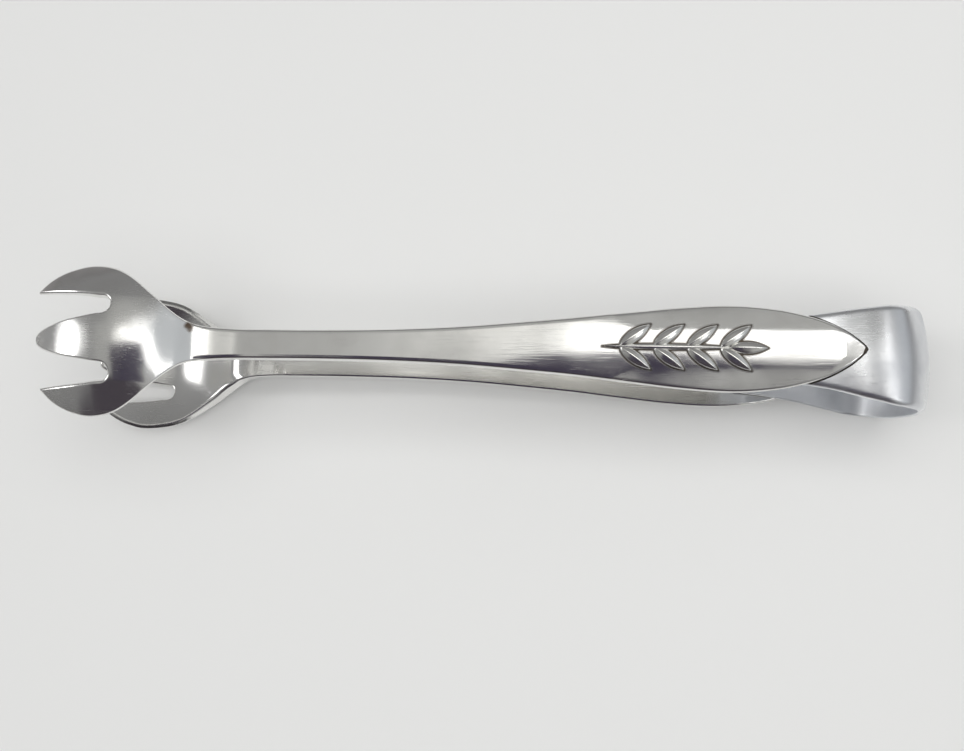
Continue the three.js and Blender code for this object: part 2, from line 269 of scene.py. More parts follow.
def noise(tree, place, scale, detail, offset=(0, 0, 0), longer=(1, 1, 1), turn=0.0):
    """Soft noise on a place that is first scaled, turned and shifted. It runs long where longer is small."""
    moved = add(tree, "ShaderNodeMapping", {"Vector": place, "Location": offset,
                                            "Rotation": (0, 0, turn), "Scale": longer})
    return add(tree, "ShaderNodeTexNoise", {"Vector": moved.outputs[0], "Scale": scale,
                                            "Detail": detail}).outputs["Fac"]


def new_group(name, inputs, outputs):
    """A shader node group with named value sockets."""
    group = bpy.data.node_groups.new(name, "ShaderNodeTree")
    for socket, kind in inputs:
        group.interface.new_socket(socket, in_out="INPUT", socket_type=kind)
    for socket in outputs:
        group.interface.new_socket(socket, in_out="OUTPUT", socket_type="NodeSocketFloat")
    return group, group.nodes.new("NodeGroupInput").outputs, group.nodes.new("NodeGroupOutput").inputs


# Hairlines left by years of polishing: long thin scratches in a few directions, in patches. Each row
# is their turn, their fineness and the noise's shift.
HAIRLINES = ((0.04, 9000.0, 3.0), (-0.16, 12000.0, 11.0), (0.55, 10000.0, 23.0))
HAIRLINE_LONGER = (0.018, 1, 0.3)
HAIRLINE_EDGE = (0.58, 0.74)
HAIRLINE_PATCHES = (160.0, 3.0)
HAIRLINE_PATCH_EDGE = (0.40, 0.66)

hairlines, taken, given = new_group("hairlines", [("Place", "NodeSocketVector")], ["Lines"])
deepest = None
for turn, fineness, shift in HAIRLINES:
    field = noise(hairlines, taken["Place"], fineness, 1.0, (shift, shift, shift), HAIRLINE_LONGER, turn)
    patches = noise(hairlines, taken["Place"], *HAIRLINE_PATCHES, (shift, 0, shift))
    line = calc(hairlines, "MULTIPLY", span(hairlines, field, *HAIRLINE_EDGE),
                span(hairlines, patches, *HAIRLINE_PATCH_EDGE))
    deepest = line if deepest is None else calc(hairlines, "MAXIMUM", deepest, line)
hairlines.links.new(deepest, given["Lines"])

# Handling: cloudy patches where fingers dull the polish, and the faint unevenness of hand finishing.
# Each row is the noise's scale, detail and shift, and along which way it runs long.
CLOUDS = (130.0, 5.0, (4, 1, 7))
CLOUD_EDGE = (0.36, 0.70)
WAVES = (190.0, 1.0, (9, 2, 5), (0.45, 1, 1))
GRAINS = (2600.0, 3.0, (1, 8, 2), (0.3, 1, 1))

handling, taken, given = new_group("handling", [("Place", "NodeSocketVector")], ["Cloud", "Wave", "Grain"])
clouds = noise(handling, taken["Place"], *CLOUDS)
handling.links.new(span(handling, clouds, *CLOUD_EDGE), given["Cloud"])
handling.links.new(noise(handling, taken["Place"], *WAVES), given["Wave"])
handling.links.new(noise(handling, taken["Place"], *GRAINS), given["Grain"])

LINE_ROUGH = 0.10
LINE_DEPTH = 2


def silver(name, bright, dull, shine, haze, grain_depth, wave_depth):
    """Polished silver: bright and dull are its two tones, shine its roughness and haze what patches add."""
    finish = bpy.data.materials.new(name)
    finish.use_nodes = True
    tree = finish.node_tree
    shader = tree.nodes["Principled BSDF"]
    shader.inputs["Metallic"].default_value = 1.0
    place = add(tree, "ShaderNodeTexCoord").outputs["Object"]
    lines = add(tree, "ShaderNodeGroup", node_tree=hairlines)
    marks = add(tree, "ShaderNodeGroup", node_tree=handling)
    tree.links.new(place, lines.inputs["Place"])
    tree.links.new(place, marks.inputs["Place"])
    cloud, line = marks.outputs["Cloud"], lines.outputs["Lines"]
    colour = blend_colours(tree, cloud, bright, dull)
    rough = calc(tree, "MULTIPLY_ADD", cloud, haze, shine)
    rough = calc(tree, "MULTIPLY_ADD", line, LINE_ROUGH, rough)
    tree.links.new(colour, shader.inputs["Base Color"])
    tree.links.new(rough, shader.inputs["Roughness"])
    height = calc(tree, "MULTIPLY", marks.outputs["Wave"], wave_depth)
    height = calc(tree, "MULTIPLY_ADD", marks.outputs["Grain"], grain_depth, height)
    height = calc(tree, "MULTIPLY_ADD", line, -grain_depth * LINE_DEPTH, height)
    bump = add(tree, "ShaderNodeBump", {"Strength": 1.0, "Distance": 1.0, "Height": height})
    tree.links.new(bump.outputs["Normal"], shader.inputs["Normal"])
    return finish


bow_silver = silver("bow_silver", bright=(0.83, 0.84, 0.855), dull=(0.71, 0.725, 0.755), shine=0.25,
                    haze=0.20, grain_depth=0.0000022, wave_depth=0.000010)

bow_rows, bow_lights = bow_mesh_rows()
middle = BOW_ROWS // 2
bow_tip = (BOW_WIDEST + BOW_BEND_LENGTH, 0.0, 0.0)
for name, body, rows, side in (("bow_upper_half", "upper_arm", slice(0, middle + 1), 1),
                               ("bow_lower_half", "lower_arm", slice(middle, None), -1)):
    half = make_piece(name, *capped(bow_rows[rows], bow_lights[rows]), bow_silver)
    start, end = laid([bow_tip, (BOW_WIDEST, 0.0, side * BOW_HALF_SPREAD * BEND_START_SHARE)])
    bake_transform(half)
    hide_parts("bow")

# The arms: each is hammered and filed from one blank of silver. A cupped claw with three tines
# runs into a slim shank and a broad leaf, crowned outside, whose pointed tip thins onto the bow.
# The lower arm is the upper one turned over. Edges are rounded with a file and polished.
CLAW_LENGTH = 18.6
CLAW_HALF_WIDTH = 8.8
CLAW_HEIGHT = 14.15
CLAW_CUP = 3.4
CLAW_WALL = 1.1
SLOT_HALF_WIDTH = 1.06
SLOT_END = (0.47, 0.442)
SHANK_HALF_WIDTH = 1.71
SHANK_HEIGHT = 8.2
SHANK_THICKNESS = 1.8
LEAF_START = 38.0
LEAF_TIP = 76.9
LEAF_HALF_WIDTH = 5.02
LEAF_HEIGHT = 9.3
LEAF_THICKNESS = 1.7
LEAF_CROWN = 0.5
PANEL_HALF_WIDTH = 2.13
PANEL_END = 74.4
PANEL_CORNER = 1.5
PANEL_TOP_START = 6
PANEL_SLOPE = 0.14
SHANK_TOP = 10.05
LEAF_TOP = 11.0
SOLDER_GAP = 0.12
EDGE_BEVEL = (0.42, 0.10)
BEVEL_START = -5
BEVEL_SOFTNESS = 0.12
NECK_SWELL = 0.25
EDGE_ROUND = 0.3
EDGE_ROUND_SHARE = 0.45
THINNEST_EDGE = 0.1
# The mesh in plan: its steps, the rings where the edge is rounded, and how far points keep apart
PLAN_STEP = 0.2
PLAN_GRID = 0.36
PLAN_ROW = PLAN_GRID * 0.866
RING_STEPS = (0.049, 0.19, 0.41, 0.69, 1.0, 1.4, 1.9, 2.5)
RING_CLEAR = 0.97
RING_OFF_MIDDLE = 0.02
GRID_OFF_RINGS = PLAN_GRID * 0.4
GRID_OFF_MIDDLE = 0.06
EXTRA_OFF_EDGE = EDGE_ROUND + 0.1
EXTRA_GAP = 0.07
NO_GAP = 1e-6
SAME_POINT = 1e-7
NO_AREA = 1e-9
POINTS_AT_ONCE = 600
TIP_SPREAD = 1.4
TINE_STEPS = 12
SLOT_ROUND_STEPS = 25
SLOT_STEPS = 40
RIM_STEPS = 1500
SEAT_STEPS = 6
SLOPE_STEP = 0.05

# Rows of place and size along the claw, the handle and the leaf, as shares of their length and size
CLAW_WIDTHS = [(0.075, 0.318), (0.14, 0.42), (0.199, 0.532), (0.263, 0.648), (0.323, 0.758), (0.387, 0.857),
               (0.452, 0.933), (0.522, 0.979), (0.602, 1), (0.667, 0.994), (0.72, 0.968), (0.785, 0.921),
               (0.849, 0.852), (0.898, 0.78), (0.935, 0.707), (0.968, 0.633), (1, 0.55)]
SHANK_WIDTHS = [(0, 1.26), (0.053, 1.09), (0.13, 1.01), (0.18, 1), (0.368, 1), (0.579, 1.08), (0.789, 1.287)]
LEAF_WIDTHS = [(0, 0.566), (0.154, 0.675), (0.308, 0.813), (0.463, 0.94), (0.617, 1), (0.746, 0.918),
               (0.835, 0.765), (0.895, 0.6), (0.951, 0.355), (0.98, 0.171), (1, 0.02)]
CLAW_HEIGHTS = [(0, 0.09), (0.108, 0.37), (0.215, 0.64), (0.323, 0.84), (0.43, 0.966), (0.511, 1),
                (0.591, 0.983), (0.699, 0.89), (0.806, 0.73), (0.914, 0.52), (1, 0.336)]
HANDLE_HEIGHTS = [(0.054, 0.02), (0.1, 0), (0.19, 0.05), (0.29, 0.23), (0.39, 0.45), (0.495, 0.73),
                  (0.57, 0.95), (0.65, 1), (0.73, 0.9)]
LEAF_TOPS = [(0.257, 1.01), (0.308, 1), (0.463, 0.874), (0.566, 0.768), (0.694, 0.663), (0.823, 0.674),
             (0.936, 0.8), (1, 0.95)]
PANEL_WIDTHS = [(0.19, 2.3), (0.255, 1.69), (0.296, 1.27), (0.337, 1.04), (0.4, 1), (1, 1)]
NECK_SWELLS = [(-1, 0), (-0.5, 0), (-0.24, 0.45), (0, 0.95), (0.12, 0.5), (0.25, 0), (0.4, 0), (1, 0)]
CLAW_CUPS = [(0, 0), (0.12, 0.06), (0.25, 0.3), (0.36, 0.62), (0.47, 0.9), (0.6, 1), (0.72, 0.86),
             (0.85, 0.55), (1, 0.2)]
CLAW_WALLS = [(0.25, 0.5), (0.6, 1), (1, 1.2)]
HANDLE_WALLS = [(0, 0), (0.4, 0), (0.65, 1)]
HANDLE_CROWNS = [(0, 0), (0.3, 0), (0.65, 1), (0.85, 1), (1, 1)]
HANDLE_BEVELS = [(0.05, 1), (0.55, 1), (0.8, 0), (1, 0)]
SLOT_OUTER = [(0.56, 0.566), (0.67, 0.594), (0.81, 0.614), (0.9, 0.624), (0.967, 0.634), (1.08, 0.66)]
SLOT_INNER = [(0.986, 0), (0.985, 0.03), (0.978, 0.062), (0.953, 0.108), (0.903, 0.157), (0.85, 0.194),
              (0.78, 0.236), (0.66, 0.28), (0.56, 0.315)]


def stretch(shares, start, end, low, high):
    return [(mix(start, end, p), mix(low, high, s)) for p, s in shares]


def flowing(rows, place):
    """A smooth value between rows of (place, value)."""
    at, value = np.array(rows, float).T
    slope = np.empty(len(at))
    slope[1:-1] = (value[2:] - value[:-2]) / (at[2:] - at[:-2])
    slope[0] = (value[1] - value[0]) / (at[1] - at[0])
    slope[-1] = (value[-1] - value[-2]) / (at[-1] - at[-2])
    i = np.clip(np.searchsorted(at, place), 1, len(at) - 1)
    width = at[i] - at[i - 1]
    t = np.clip((place - at[i - 1]) / width, 0, 1)
    hold = 2 * t ** 3 - 3 * t ** 2 + 1
    return (hold * value[i - 1] + (1 - hold) * value[i]
            + (t ** 3 - 2 * t ** 2 + t) * width * slope[i - 1] + (t ** 3 - t ** 2) * width * slope[i])


upper_leg = bow_line[:BOW_ROWS // 2]


def bow_height(x):
    return np.interp(x, upper_leg[:, 0], upper_leg[:, 2])


seat_places = np.linspace(BOW_END, LEAF_TIP, SEAT_STEPS)
WIDTH_ROWS = (stretch(CLAW_WIDTHS, 0, -CLAW_LENGTH, 0, CLAW_HALF_WIDTH)[::-1]
              + stretch(SHANK_WIDTHS, 0, LEAF_START, 0, SHANK_HALF_WIDTH)
              + stretch(LEAF_WIDTHS, LEAF_START, LEAF_TIP, 0, LEAF_HALF_WIDTH))
HEIGHT_ROWS = (stretch(CLAW_HEIGHTS, 0, -CLAW_LENGTH, SHANK_HEIGHT, CLAW_HEIGHT)[::-1]
               + stretch(HANDLE_HEIGHTS, 0, LEAF_TIP, SHANK_HEIGHT, LEAF_HEIGHT)
               + [(x, bow_height(x) + SOLDER_GAP) for x in seat_places])
WALL_ROWS = (stretch(CLAW_WALLS, 0, -CLAW_LENGTH, SHANK_THICKNESS, CLAW_WALL)[::-1]
             + stretch(HANDLE_WALLS, 0, LEAF_TIP, SHANK_THICKNESS, LEAF_THICKNESS))
SWELL_ROWS = stretch(NECK_SWELLS, 0, CLAW_LENGTH, 0, NECK_SWELL)
CUP_ROWS = stretch(CLAW_CUPS, 0, -CLAW_LENGTH, 0, CLAW_CUP)[::-1] + [(LEAF_TIP, 0)]
CROWN_ROWS = stretch(HANDLE_CROWNS, 0, LEAF_TIP, 0, LEAF_CROWN)
PANEL_ROWS = stretch(PANEL_WIDTHS, LEAF_START, LEAF_TIP, 0, PANEL_HALF_WIDTH)
BEVEL_DEEP_ROWS = [(BEVEL_START, 0)] + stretch(HANDLE_BEVELS, 0, LEAF_TIP, 0, EDGE_BEVEL[1])
TOP_START = LEAF_START + PANEL_TOP_START
TOP_ROWS = ([(TOP_START, float(flowing(HEIGHT_ROWS, TOP_START) + flowing(WALL_ROWS, TOP_START)))]
            + stretch(LEAF_TOPS, LEAF_START, LEAF_TIP, SHANK_TOP, LEAF_TOP))


def arm_inner(x, y):
    """Height of the face towards the other arm."""
    share = y / flowing(WIDTH_ROWS, x)
    return flowing(HEIGHT_ROWS, x) - share ** 2 * flowing(CUP_ROWS, x)


def arm_wall(x):
    """Thickness along the middle: fuller at the neck, and on the leaf up to its smooth top."""
    leaf = flowing(TOP_ROWS, x) - flowing(HEIGHT_ROWS, x)
    return np.where(x > TOP_START, leaf, flowing(WALL_ROWS, x) + flowing(SWELL_ROWS, x))


def past_softly(past, softness):
    return (past + np.sqrt(past ** 2 + softness ** 2)) / 2


def past_panel(x, y):
    """How far a place lies outside the raised panel, which runs along the leaf and ends round."""
    along = x - (PANEL_END - PANEL_CORNER)
    across = np.abs(y) - (flowing(PANEL_ROWS, x) - PANEL_CORNER)
    return (np.hypot(np.maximum(along, 0), np.maximum(across, 0))
            + np.minimum(np.maximum(along, across), 0) - PANEL_CORNER)


def arm_outer(x, y):
    """Height of the outside: crowned on the leaf, falling off outside its panel and at the edges."""
    width = flowing(WIDTH_ROWS, x)
    slope = (flowing(WIDTH_ROWS, x + SLOPE_STEP) - width) / SLOPE_STEP
    from_edge = (width - np.abs(y)) / np.sqrt(1 + slope ** 2)
    edge = past_softly(1 - from_edge / EDGE_BEVEL[0], BEVEL_SOFTNESS)
    panel = past_softly(past_panel(x, y), BEVEL_SOFTNESS)
    return (arm_inner(x, y) + arm_wall(x) - (y / LEAF_HALF_WIDTH) ** 2 * flowing(CROWN_ROWS, x)
            - edge * flowing(BEVEL_DEEP_ROWS, x) - panel * PANEL_SLOPE)


def lean(surface, x, y, step=0.02):
    """How steeply a surface rises along x and along y."""
    rise_x = (surface(x + step, y) - surface(x - step, y)) / (2 * step)
    rise_y = (surface(x, y + step) - surface(x, y - step)) / (2 * step)
    return rise_x, rise_y


def by_length(line, step):
    length = np.linalg.norm(np.diff(line, axis=0), axis=1).sum()
    return even_line(line, max(int(round(length / step)), 2) + 1)


def arm_outline():
    """One half of the arm seen from above, from the middle tine's tip round to the leaf's tip."""
    plan = lambda rows: np.array([(-a * CLAW_LENGTH, s * CLAW_HALF_WIDTH) for a, s in rows])
    tine = plan(SLOT_INNER)
    tine = flowing_line(np.vstack([tine[1:2] * (1, -1), tine]), TINE_STEPS)[TINE_STEPS:]
    turn = np.linspace(-math.pi / 2, math.pi / 2, SLOT_ROUND_STEPS)
    middle = np.array([-SLOT_END[0] * CLAW_LENGTH - SLOT_HALF_WIDTH, SLOT_END[1] * CLAW_HALF_WIDTH])
    round_end = middle + SLOT_HALF_WIDTH * np.stack([np.cos(turn), np.sin(turn)], 1)
    outer = flowing_line(plan(SLOT_OUTER), SLOT_STEPS)
    outer = outer[outer[:, 1] < flowing(WIDTH_ROWS, outer[:, 0])]
    slot = by_length(np.vstack([tine, round_end, outer]), PLAN_STEP)
    x = np.linspace(slot[-1, 0], LEAF_TIP, RIM_STEPS)
    rim = by_length(np.vstack([slot[-1:], np.stack([x, flowing(WIDTH_ROWS, x)], 1)[2:]]), PLAN_STEP)
    outline = np.vstack([slot, rim[1:]])
    outline[[0, -1], 1] = 0.0
    return outline


def to_line(points, line):
    """Distance from each point to a line, and the way from it to the point."""
    a, b = line[:-1], line[1:]
    ab = b - a
    distance, way = [], []
    for part in np.array_split(points, max(len(points) // POINTS_AT_ONCE, 1)):
        t = ((part[:, None] - a) * ab).sum(2) / (ab * ab).sum(1)
        gap = part[:, None] - (a + np.clip(t, 0, 1)[..., None] * ab)
        size = np.linalg.norm(gap, axis=2)
        near = size.argmin(1)
        row = np.arange(len(part))
        distance.append(size[row, near])
        way.append(gap[row, near])
    return np.concatenate(distance), unit(np.vstack(way))


def thinned(points, gap):
    """Points with none in the same small square as another."""
    _, keep = np.unique(np.round(points / gap), axis=0, return_index=True)
    return points[np.sort(keep)]


def arm_plan(extra):
    """The half arm's plan: points, triangles, how many points the outline has, and how far and which
    way every point lies from it."""
    outline = arm_outline()
    tangent = unit(np.gradient(outline, axis=0))
    inward = np.stack([tangent[:, 1], -tangent[:, 0]], 1)
    inward[0], inward[-1] = (1, 0), (-1, 0)
    steps = np.array(RING_STEPS) * EDGE_ROUND
    rings = np.vstack([outline + inward * step for step in steps])
    depth = np.repeat(steps, len(outline))
    near, _ = to_line(rings, outline)
    rings = rings[(near > depth * RING_CLEAR) & (rings[:, 1] > RING_OFF_MIDDLE)]
    x, y = np.meshgrid(np.arange(-CLAW_LENGTH, LEAF_TIP, PLAN_GRID), np.arange(0, CLAW_HALF_WIDTH, PLAN_ROW))
    x = x + (np.round(y / PLAN_ROW) % 2) * PLAN_GRID / 2
    grid = np.stack([x.ravel(), y.ravel()], 1)
    near, _ = to_line(grid, outline)
    grid = grid[near > steps[-1] + GRID_OFF_RINGS]
    near, _ = to_line(extra, outline)
    extra = thinned(extra[(near > EXTRA_OFF_EDGE) & (extra[:, 1] >= 0)], EXTRA_GAP)
    far = np.abs(grid[:, None] - extra).max(2).min(1) > PLAN_GRID / 2
    grid = np.vstack([grid[far], extra])
    centre = grid[grid[:, 1] < NO_GAP]
    grid = grid[grid[:, 1] > GRID_OFF_MIDDLE]
    tips = np.concatenate([outline[0, 0] + steps, LEAF_TIP - steps * TIP_SPREAD])
    inside = (centre[:, 0] > outline[0, 0] + steps[-1]) & (centre[:, 0] < LEAF_TIP - steps[-1] * TIP_SPREAD)
    spine = np.vstack([centre[inside], np.stack([tips, tips * 0], 1)])
    spine = spine[np.argsort(-spine[:, 0])]
    loop = len(outline) + len(spine)
    points = [Vector(p) for p in np.vstack([outline, spine, rings, grid])]
    made, _, faces, _, _, _ = geometry.delaunay_2d_cdt(points, [], [list(range(loop))], 1, SAME_POINT)
    flat = np.array([tuple(p) for p in made])
    faces = np.array(faces)
    a, b, c = flat[faces[:, 0]], flat[faces[:, 1]], flat[faces[:, 2]]
    area = (b[:, 0] - a[:, 0]) * (c[:, 1] - a[:, 1]) - (b[:, 1] - a[:, 1]) * (c[:, 0] - a[:, 0])
    faces[area < 0] = faces[area < 0][:, ::-1]
    faces = faces[np.abs(area) > NO_AREA]
    distance, way = to_line(flat, outline)
    way[:len(outline)] = inward
    distance[:len(outline)] = 0.0
    return flat, faces, len(outline), distance, way


def arm_mesh(extra):
    """The upper arm: points, normals, faces, and the plan of every point."""
    flat, faces, rim, distance, way = arm_plan(extra)
    x, y = flat.T
    rise_x, rise_y = lean(arm_inner, x, y)
    up = unit(np.stack([-rise_x, -rise_y, np.ones(len(x))], 1))
    wall = arm_wall(x)
    drop_top = arm_inner(x, y) + wall - arm_outer(x, y)
    spare = np.maximum(wall - drop_top, THINNEST_EDGE) * up[:, 2]
    radius = np.minimum(EDGE_ROUND, spare * EDGE_ROUND_SHARE)
    past = np.clip(1 - distance / radius, 0, 1)
    rise = np.sqrt(1 - past ** 2)
    sunk = (radius * (1 - rise))[:, None] * up
    outside = np.stack([x, y, arm_outer(x, y)], 1) - sunk
    inside = np.stack([x, y, arm_inner(x, y) + wall], 1) - (wall * up[:, 2])[:, None] * up + sunk
    outward = unit(np.stack([-way[:, 0], -way[:, 1], -way[:, 0] * rise_x - way[:, 1] * rise_y], 1))
    top_x, top_y = lean(arm_outer, x, y)
    top = unit(np.stack([-top_x, -top_y, np.ones(len(x))], 1))
    light_out = top * rise[:, None] + outward * past[:, None]
    light_in = -up * rise[:, None] + outward * past[:, None]
    count = len(x)
    a = np.arange(rim - 1)
    edge = np.stack([a, a + 1, a + 1 + count, a + count], 1)
    half = [tuple(f) for part in (faces, faces[:, ::-1] + count, edge) for f in part]
    points = np.vstack([outside, inside])
    lights = np.vstack([light_out, light_in])
    on_line = np.concatenate([y, y]) < NO_GAP
    points[on_line, 1] = 0.0
    lights[on_line, 1] = 0.0
    mirror = np.full(len(points), -1)
    mirror[~on_line] = len(points) + np.arange((~on_line).sum())
    mirror[on_line] = np.flatnonzero(on_line)
    flip = np.array([1.0, -1.0, 1.0])
    points = np.vstack([points, points[~on_line] * flip])
    lights = np.vstack([lights, lights[~on_line] * flip])
    whole = half + [tuple(mirror[list(f)][::-1]) for f in half]
    plan = np.vstack([flat, flat])
    plan = np.vstack([plan, plan[~on_line]])
    outer_face = np.concatenate([np.ones(count), np.zeros(count)])
    outer_face = np.concatenate([outer_face, outer_face[~on_line]])
    return points, lights, whole, plan, outer_face


# The sprig is laid out here, because the arms darken round its foot
SPRIG_LENGTH = 19.0
SPRIG_PLACE = 0.47
SPRIG_MIDDLE = mix(LEAF_START, LEAF_TIP, SPRIG_PLACE)
SPRIG_PAIRS = 4
BLADE_LENGTH = 4.5
BLADE_HALF_WIDTH = 0.72
END_BLADE_LENGTH = 4.6
BLADE_TURN = 0.62
END_BLADE_LAP = 0.8
STEM_HALF_WIDTH = 0.36
BLADE_CURVE = ((0.0, 0.0), (0.25, 1.5), (0.7, 1.2), (1.0, 0.0))
BLADE_PLAN_STEPS = 60
SPRIG_MARGIN = 0.6
SPRIG_HALF_WIDTH = 3.6
RECESS_GRID = 0.13
RECESS_MESH_WIDTH = 0.45
RECESS_WIDTH = 0.24
RECESS_FADE = 0.13


def blade_profile(count):
    """Place along a blade and half-width, as shares."""
    t = np.linspace(0, 1, count)[:, None]
    p = np.array(BLADE_CURVE)
    return (1 - t) ** 3 * p[0] + 3 * (1 - t) ** 2 * t * p[1] + 3 * (1 - t) * t ** 2 * p[2] + t ** 3 * p[3]


stem_start = -SPRIG_LENGTH / 2
stem_end = SPRIG_LENGTH / 2 - END_BLADE_LENGTH * END_BLADE_LAP
blades = [(SPRIG_MIDDLE + SPRIG_LENGTH / 2 - END_BLADE_LENGTH, 0.0, END_BLADE_LENGTH, BLADE_HALF_WIDTH)]
for pair in range(SPRIG_PAIRS):
    foot = SPRIG_MIDDLE + stem_start + (pair + 0.5) * (stem_end - stem_start) / SPRIG_PAIRS
    blades += [(foot, side * BLADE_TURN, BLADE_LENGTH, BLADE_HALF_WIDTH) for side in (1, -1)]
stem = (SPRIG_MIDDLE + stem_start, 0.0, stem_end - stem_start + STEM_HALF_WIDTH, STEM_HALF_WIDTH)


def blade_distance(points, foot, turn, length, half_width):
    """Rough distance of plan points outside one blade."""
    c, s = math.cos(turn), math.sin(turn)
    along = ((points[:, 0] - foot) * c + points[:, 1] * s) / length
    across = -(points[:, 0] - foot) * s + points[:, 1] * c
    profile = blade_profile(BLADE_PLAN_STEPS)
    edge = np.interp(along, profile[:, 0], profile[:, 1]) * half_width
    beyond = np.maximum(-along, along - 1).clip(0) * length
    return np.hypot(np.maximum(np.abs(across) - edge, 0), beyond)


def sprig_distance(points):
    return np.min([blade_distance(points, *b) for b in blades + [stem]], axis=0)


reach = SPRIG_LENGTH / 2 + SPRIG_MARGIN
x, y = np.meshgrid(np.arange(SPRIG_MIDDLE - reach, SPRIG_MIDDLE + reach, RECESS_GRID),
                   np.arange(0.0, SPRIG_HALF_WIDTH, RECESS_GRID))
foot_points = np.stack([x.ravel(), y.ravel()], 1)
foot_points = foot_points[sprig_distance(foot_points) < RECESS_MESH_WIDTH]

arm_points, arm_lights, arm_faces, arm_flat, arm_outside = arm_mesh(foot_points)
recess = np.clip((RECESS_WIDTH - sprig_distance(arm_flat)) / RECESS_FADE, 0, 1) * arm_outside


def other_side(points):
    """The half turn about the tongs' length that makes a lower piece from an upper one."""
    return points * np.array([1.0, -1.0, -1.0])


TINE_LONGER = 0.55
TINE_LENGTH_SPAN = (11, 18)
TINE_SIDE_SPAN = (3.2, 4.8)


def set_upper(points):
    """The far tine of the upper claw was left a little longer than the near one."""
    x, y, z = points.T
    x = x - TINE_LONGER * grown(-x, *TINE_LENGTH_SPAN) * grown(y, *TINE_SIDE_SPAN)
    return np.stack([x, y, z], 1)


LOWER_ARM_SET = (0.7, -0.15)
LOWER_CLAW_NARROWER = 0.985
LOWER_CLAW_SPAN = (0, 6)
LOWER_NECK_LONGER = 0.85
LOWER_NECK_SPAN = (-10, -1)
LOWER_SLOT_SHORTER = -0.45
LOWER_SLOT_SPAN = (0, 9)
LOWER_SHOULDER = 0.85
SHOULDER_NECK_SPAN = (-2.5, 1.5)
SHOULDER_CLAW_SPAN = (-11, -8)
SHOULDER_SIDE_SPAN = (0.5, 0.9)


def set_lower(points):
    """The lower arm was soldered on a little askew, with a longer neck and fuller shoulders."""
    x, y, z = points.T
    longer = mix(LOWER_NECK_LONGER, LOWER_SLOT_SHORTER, grown(-x, *LOWER_SLOT_SPAN))
    share = np.abs(y) / flowing(WIDTH_ROWS, x)
    shoulder = (LOWER_SHOULDER * grown(x, *SHOULDER_CLAW_SPAN) * grown(-x, *SHOULDER_NECK_SPAN)
                * grown(share, *SHOULDER_SIDE_SPAN))
    x = x + (LOWER_ARM_SET[0] + longer * grown(-x, *LOWER_NECK_SPAN) + shoulder)
    y = y * mix(1, LOWER_CLAW_NARROWER, grown(-x, *LOWER_CLAW_SPAN)) + LOWER_ARM_SET[1]
    return np.stack([x, y, z], 1)


# The claws are a little hazy. Silver darkens in its recesses, and the upper arm has a brown stain
# where claw and neck meet.
CLAW_HAZE = 0.07
CLAW_HAZE_EDGE = (-0.030, -0.036)
TARNISH = (0.10, 0.085, 0.07)
STAIN = (0.16, 0.12, 0.09)
STAIN_PLACE = (-0.03385, 0.00175, 0.02563)
STAIN_EDGE = (0.00125, 0.00085)
STAIN_RAGGED = 0.0009
STAIN_RAGS = (900.0, 3.0)
DARK_ROUGH = 0.25


def darken(finish):
    """Haze, dark recesses and the stain over a polished finish."""
    tree = finish.node_tree
    inputs = tree.nodes["Principled BSDF"].inputs
    colour, rough = (inputs[name].links[0].from_socket for name in ("Base Color", "Roughness"))
    place = add(tree, "ShaderNodeTexCoord").outputs["Object"]
    parts = add(tree, "ShaderNodeSeparateXYZ", {0: place}).outputs
    rough = calc(tree, "ADD", rough, span(tree, parts["X"], *CLAW_HAZE_EDGE, 0, CLAW_HAZE))
    recesses = add(tree, "ShaderNodeAttribute", attribute_name="recess").outputs["Fac"]
    away = add(tree, "ShaderNodeVectorMath", {0: place, 1: STAIN_PLACE}, operation="DISTANCE")
    rags = noise(tree, place, *STAIN_RAGS)
    ragged = calc(tree, "MULTIPLY_ADD", rags, STAIN_RAGGED, away.outputs["Value"])
    for mask, tint in ((recesses, TARNISH), (span(tree, ragged, *STAIN_EDGE), STAIN)):
        colour = blend_colours(tree, mask, colour, tint)
        rough = calc(tree, "MULTIPLY_ADD", mask, DARK_ROUGH, rough)
    tree.links.new(colour, inputs["Base Color"])
    tree.links.new(rough, inputs["Roughness"])


arm_silver = silver("arm_silver", bright=(0.88, 0.875, 0.86), dull=(0.78, 0.775, 0.755), shine=0.10,
                    haze=0.10, grain_depth=0.0000008, wave_depth=0.000012)
darken(arm_silver)
for body in ("upper_arm", "lower_arm"):
    lower = body == "lower_arm"
    points = set_lower(other_side(arm_points)) if lower else set_upper(arm_points)
    lights = other_side(arm_lights) if lower else arm_lights
    arm = make_piece(body + "_silver", points, arm_faces, lights, arm_silver)
    mark = arm.data.attributes.new("recess", "FLOAT", "POINT")
    mark.data.foreach_set("value", recess.astype(np.float32))
    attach(arm, body)
    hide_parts(body)

# The sprigs: small laurel-like sprigs raised on the outside of each leaf, chased in silver. Each
# blade is a low dome with a midrib, and the silver at its foot has darkened with age.
SPRIG_RELIEF = 0.52
STEM_RELIEF = SPRIG_RELIEF * 0.8
SPRIG_SUNK = 0.12
DOME_FULLNESS = 0.8
MIDRIB = 0.09
MIDRIB_WIDTH = 0.2
BLADE_ROWS = 26
BLADE_COLUMNS = 17


